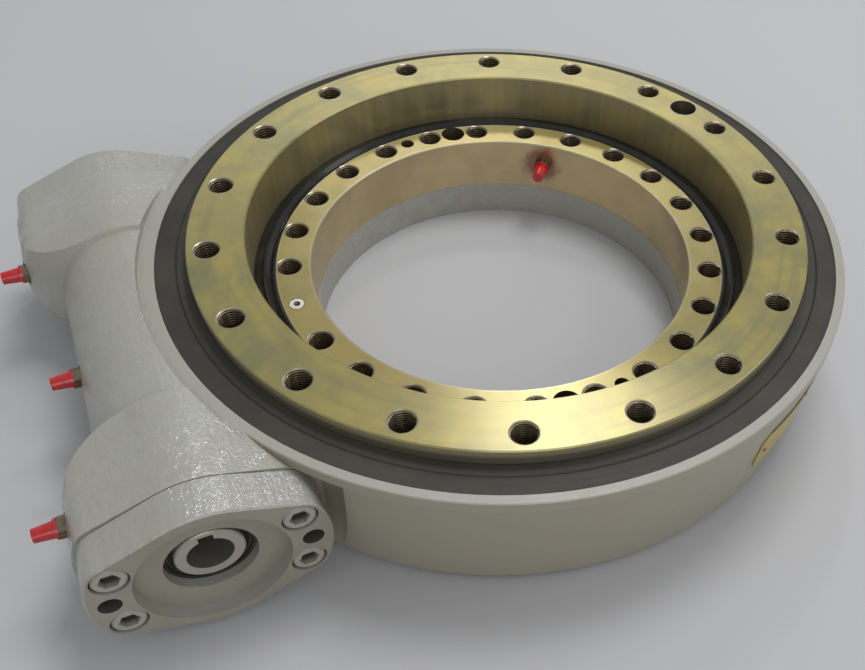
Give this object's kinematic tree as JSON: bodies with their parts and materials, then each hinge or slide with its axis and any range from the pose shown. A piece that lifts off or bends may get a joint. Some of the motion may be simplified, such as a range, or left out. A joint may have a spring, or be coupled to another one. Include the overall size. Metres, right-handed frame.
{
  "type": "slewing worm drive",
  "caption": "Enclosed slewing drive: a toothed output ring on a ball raceway, turned by a tangential worm in a cast housing with a motor flange.",
  "frame": {"origin": "on the slew axis, in the plane of the housing's base face", "axes": "+Z along the slew axis, up through the output ring; the worm axis is parallel to Y on the -X side, and its motor end points to -Y"},
  "size_m": [0.5514, 0.466, 0.102],
  "materials": {
    "cast_housing": "grey gloss paint over a cast surface",
    "cover_paint": "warm grey gloss paint over steel",
    "zinc_steel": "yellow passivated zinc on turned steel",
    "white_sealant": "steel pin with white sealant",
    "dark_steel": "black oxide",
    "bearing_steel": "polished bearing steel",
    "cage_plastic": "natural nylon",
    "seal_rubber": "black nitrile rubber",
    "gasket_sheet": "dark compressed gasket sheet",
    "worm_steel": "ground alloy steel",
    "nipple_steel": "zinc plated steel",
    "red_cap": "glossy red plastic",
    "plate_brass": "thin blank brass plate"
  },
  "bodies": {
    "drive_housing": {"housing": "cast_housing", "inner_ring": "zinc_steel", "filler_plug": "zinc_steel", "filler_plug_pin": "white_sealant", "ring_screws": "dark_steel", "outer_dust_seal": "seal_rubber", "inner_lip_seal": "seal_rubber", "near_cover": "cover_paint", "far_cover": "cover_paint", "near_cover_gasket": "gasket_sheet", "far_cover_gasket": "gasket_sheet", "near_cover_screws": "cover_paint", "far_cover_screws": "cover_paint", "near_shaft_seal": "seal_rubber", "near_bearing_cup": "bearing_steel", "far_bearing_cup": "bearing_steel", "grease_nipple_near": "nipple_steel", "grease_nipple_mid": "nipple_steel", "grease_nipple_far": "nipple_steel", "grease_nipple_bore": "nipple_steel", "nipple_cap_near": "red_cap", "nipple_cap_mid": "red_cap", "nipple_cap_far": "red_cap", "nipple_cap_bore": "red_cap", "nameplate": "plate_brass", "nameplate_rivets": "nipple_steel"},
    "output_wheel": {"output_ring": "zinc_steel"},
    "ball_set": {"ring_balls": "bearing_steel", "ball_spacers": "cage_plastic"},
    "worm": {"worm_shaft": "worm_steel", "near_bearing_cone": "bearing_steel", "far_bearing_cone": "bearing_steel"},
    "near_roller_set": {"near_bearing_rollers": "bearing_steel", "near_bearing_cage": "worm_steel"},
    "far_roller_set": {"far_bearing_rollers": "bearing_steel", "far_bearing_cage": "worm_steel"}
  },
  "joints": [
    {"name": "slew", "type": "hinge", "parent": "drive_housing", "child": "output_wheel", "pos_m": [0, 0, 0.0521], "axis": [0, 0, 1], "continuous": true},
    {"name": "worm_turn", "type": "hinge", "parent": "drive_housing", "child": "worm", "pos_m": [-0.2372, 0, 0.0521], "axis": [0, 1, 0], "continuous": true},
    {"name": "ball_orbit", "type": "hinge", "parent": "drive_housing", "child": "ball_set", "pos_m": [0, 0, 0.044], "axis": [0, 0, 1], "continuous": true},
    {"name": "near_roller_orbit", "type": "hinge", "parent": "drive_housing", "child": "near_roller_set", "pos_m": [-0.2372, -0.1287, 0.0521], "axis": [0, 1, 0], "continuous": true},
    {"name": "far_roller_orbit", "type": "hinge", "parent": "drive_housing", "child": "far_roller_set", "pos_m": [-0.2372, 0.1287, 0.0521], "axis": [0, 1, 0], "continuous": true}
  ],
  "couplings": [
    {"joint": "worm_turn", "follows": "slew", "ratio": 84},
    {"joint": "ball_orbit", "follows": "slew", "ratio": 0.52},
    {"joint": "near_roller_orbit", "follows": "slew", "ratio": 37.2},
    {"joint": "far_roller_orbit", "follows": "slew", "ratio": 37.2}
  ]
}
